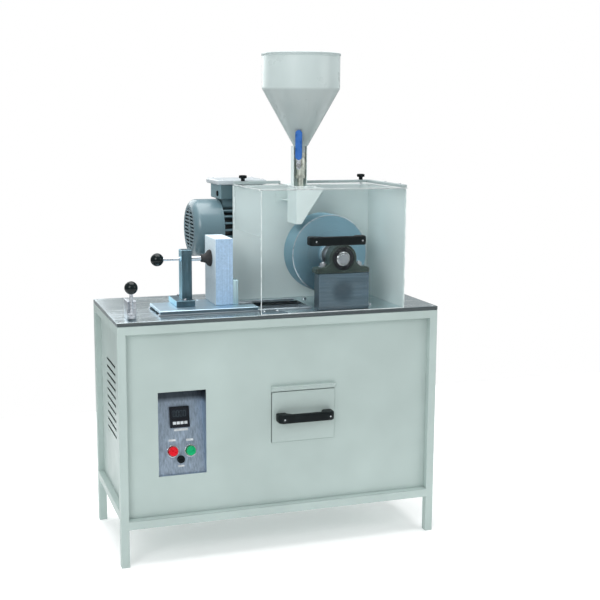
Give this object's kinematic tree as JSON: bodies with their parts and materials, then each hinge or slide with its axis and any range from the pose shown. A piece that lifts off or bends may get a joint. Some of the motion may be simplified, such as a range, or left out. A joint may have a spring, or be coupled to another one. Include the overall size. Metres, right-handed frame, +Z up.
{
  "type": "wide wheel abrasion tester",
  "caption": "Bench cabinet with a vertical steel abrasion wheel under a clear guard, a sand hopper above it, a specimen trolley with a screw clamp, a geared motor and a drawer.",
  "frame": {"origin": "middle of the bounding box, on the floor", "axes": "+X to the right seen from the front, +Y to the rear, +Z up"},
  "size_m": [0.812, 0.4397, 1.218],
  "materials": {
    "cabinet_paint": "pale grey-green powder coat",
    "bright_steel": "bright zinc-plated sheet and bar",
    "ground_steel": "ground and machined steel",
    "grey_enamel": "blue-grey motor enamel",
    "cast_iron": "dark painted cast iron",
    "panel_aluminium": "brushed grey-blue panel",
    "black_plastic": "black moulded plastic",
    "black_rubber": "black rubber",
    "red_plastic": "red push button",
    "green_plastic": "green push button",
    "blue_vinyl": "blue dipped lever",
    "brass": "nickel-plated brass valve",
    "bronze": "bronze worm wheel",
    "chrome": "bright chrome",
    "clear_acrylic": "clear acrylic sheet",
    "concrete": "sawn concrete test block, fine matt surface",
    "wire_rope": "stranded wire rope"
  },
  "bodies": {
    "cabinet": {"base_frame": "cabinet_paint", "table_plate": "bright_steel", "front_panel": "cabinet_paint", "left_side_panel": "cabinet_paint", "right_side_panel": "cabinet_paint", "back_panel": "cabinet_paint", "floor_panel": "cabinet_paint", "mains_inlet": "black_plastic", "control_pan": "panel_aluminium", "revolution_counter": "black_plastic", "stop_button_bezel": "chrome", "start_button_bezel": "chrome", "fuse_holder": "black_plastic", "slot_funnel": "bright_steel", "drawer_cradle": "bright_steel", "guard_shield": "cabinet_paint", "hopper_bracket": "cabinet_paint", "flow_chute": "cabinet_paint", "hopper": "cabinet_paint", "valve_body": "brass", "front_support_block": "ground_steel", "pillow_block": "cast_iron", "gearbox_housing": "grey_enamel", "motor_body": "grey_enamel", "motor_cowl": "grey_enamel", "terminal_box": "grey_enamel", "motor_lead": "black_rubber", "trolley_track": "bright_steel", "lever_block": "bright_steel", "pulley_bracket": "bright_steel", "cable_run": "wire_rope"},
    "wheel": {"abrasion_wheel": "ground_steel", "wheel_shaft": "ground_steel", "bearing_inner_ring": "chrome", "worm_wheel": "bronze"},
    "rotor": {"motor_rotor": "ground_steel"},
    "trolley": {"trolley_plate": "bright_steel", "clamp_post": "ground_steel", "specimen_stop": "ground_steel", "test_specimen": "concrete"},
    "clamp_slider": {"clamp_foot": "black_rubber"},
    "clamp_screw": {"clamp_spindle": "bright_steel", "clamp_ball_knob": "black_plastic"},
    "weight": {"counterweight": "cast_iron", "cable_drop": "wire_rope"},
    "cable_pulley": {"pulley": "bright_steel"},
    "hood": {"guard_pane": "clear_acrylic", "guard_lid": "clear_acrylic", "guard_handle": "black_plastic"},
    "left_knob": {"thumb_knob_left": "black_plastic"},
    "right_knob": {"thumb_knob_right": "black_plastic"},
    "lock": {"lock_lever": "bright_steel", "lock_lever_ball": "black_plastic"},
    "valve": {"valve_lever": "blue_vinyl", "valve_ball": "chrome"},
    "stop_button": {"stop_button_cap": "red_plastic"},
    "start_button": {"start_button_cap": "green_plastic"},
    "fuse": {"fuse_cap": "black_plastic"},
    "drawer": {"drawer_tray": "cabinet_paint", "drawer_handle": "black_plastic"}
  },
  "joints": [
    {"name": "wheel_spin", "type": "hinge", "parent": "cabinet", "child": "wheel", "pos_m": [0.156, -0.03575, 0.721], "axis": [0, 1, 0], "continuous": true},
    {"name": "motor_spin", "type": "hinge", "parent": "cabinet", "child": "rotor", "pos_m": [0, 0.13525, 0.775], "axis": [1, 0, 0], "continuous": true},
    {"name": "trolley_slide", "type": "slide", "parent": "cabinet", "child": "trolley", "axis": [1, 0, 0], "range_m": [0, 0.157]},
    {"name": "clamp_retract", "type": "slide", "parent": "trolley", "child": "clamp_slider", "axis": [-1, 0, 0], "range_m": [0, 0.024]},
    {"name": "clamp_screw_turn", "type": "hinge", "parent": "clamp_slider", "child": "clamp_screw", "pos_m": [-0.2, -0.03575, 0.718], "axis": [1, 0, 0], "range_deg": [0, 2160]},
    {"name": "counterweight_drop", "type": "slide", "parent": "cabinet", "child": "weight", "axis": [0, 0, -1], "range_m": [0, 0.157], "deforming": ["cable_drop"]},
    {"name": "pulley_spin", "type": "hinge", "parent": "cabinet", "child": "cable_pulley", "pos_m": [0.3, 0.03525, 0.534], "axis": [0, 1, 0], "range_deg": [0, 360]},
    {"name": "hood_draw", "type": "slide", "parent": "cabinet", "child": "hood", "axis": [0, -1, 0], "range_m": [0, 0.3]},
    {"name": "left_knob_turn", "type": "hinge", "parent": "hood", "child": "left_knob", "pos_m": [-0.038, 0.04925, 0.901], "axis": [0, 0, 1], "continuous": true},
    {"name": "right_knob_turn", "type": "hinge", "parent": "hood", "child": "right_knob", "pos_m": [0.286, 0.04925, 0.901], "axis": [0, 0, 1], "continuous": true},
    {"name": "lock_lever_turn", "type": "hinge", "parent": "cabinet", "child": "lock", "pos_m": [-0.368, -0.16475, 0.606], "axis": [0, 1, 0], "range_deg": [0, 55]},
    {"name": "valve_turn", "type": "hinge", "parent": "cabinet", "child": "valve", "pos_m": [0.0885, -0.03475, 0.945], "axis": [0.4226, 0.9063, 0], "range_deg": [0, 90]},
    {"name": "stop_press", "type": "slide", "parent": "cabinet", "child": "stop_button", "axis": [0, 0.9763, -0.2164], "range_m": [0, 0.004], "stiffness_N_per_m": 400},
    {"name": "start_press", "type": "slide", "parent": "cabinet", "child": "start_button", "axis": [0, 0.9763, -0.2164], "range_m": [0, 0.004], "stiffness_N_per_m": 400},
    {"name": "fuse_cap_turn", "type": "hinge", "parent": "cabinet", "child": "fuse", "pos_m": [-0.2524, -0.15421, 0.24633], "axis": [0, -0.9763, 0.2164], "range_deg": [-90, 0]},
    {"name": "drawer_slide", "type": "slide", "parent": "cabinet", "child": "drawer", "axis": [0, -1, 0], "range_m": [0, 0.26]}
  ],
  "couplings": [
    {"joint": "motor_spin", "follows": "wheel_spin", "ratio": 24},
    {"joint": "counterweight_drop", "follows": "trolley_slide", "ratio": 1},
    {"joint": "pulley_spin", "follows": "trolley_slide", "rad_per_m": 40},
    {"joint": "clamp_screw_turn", "follows": "clamp_retract", "rad_per_m": 1570.8}
  ]
}
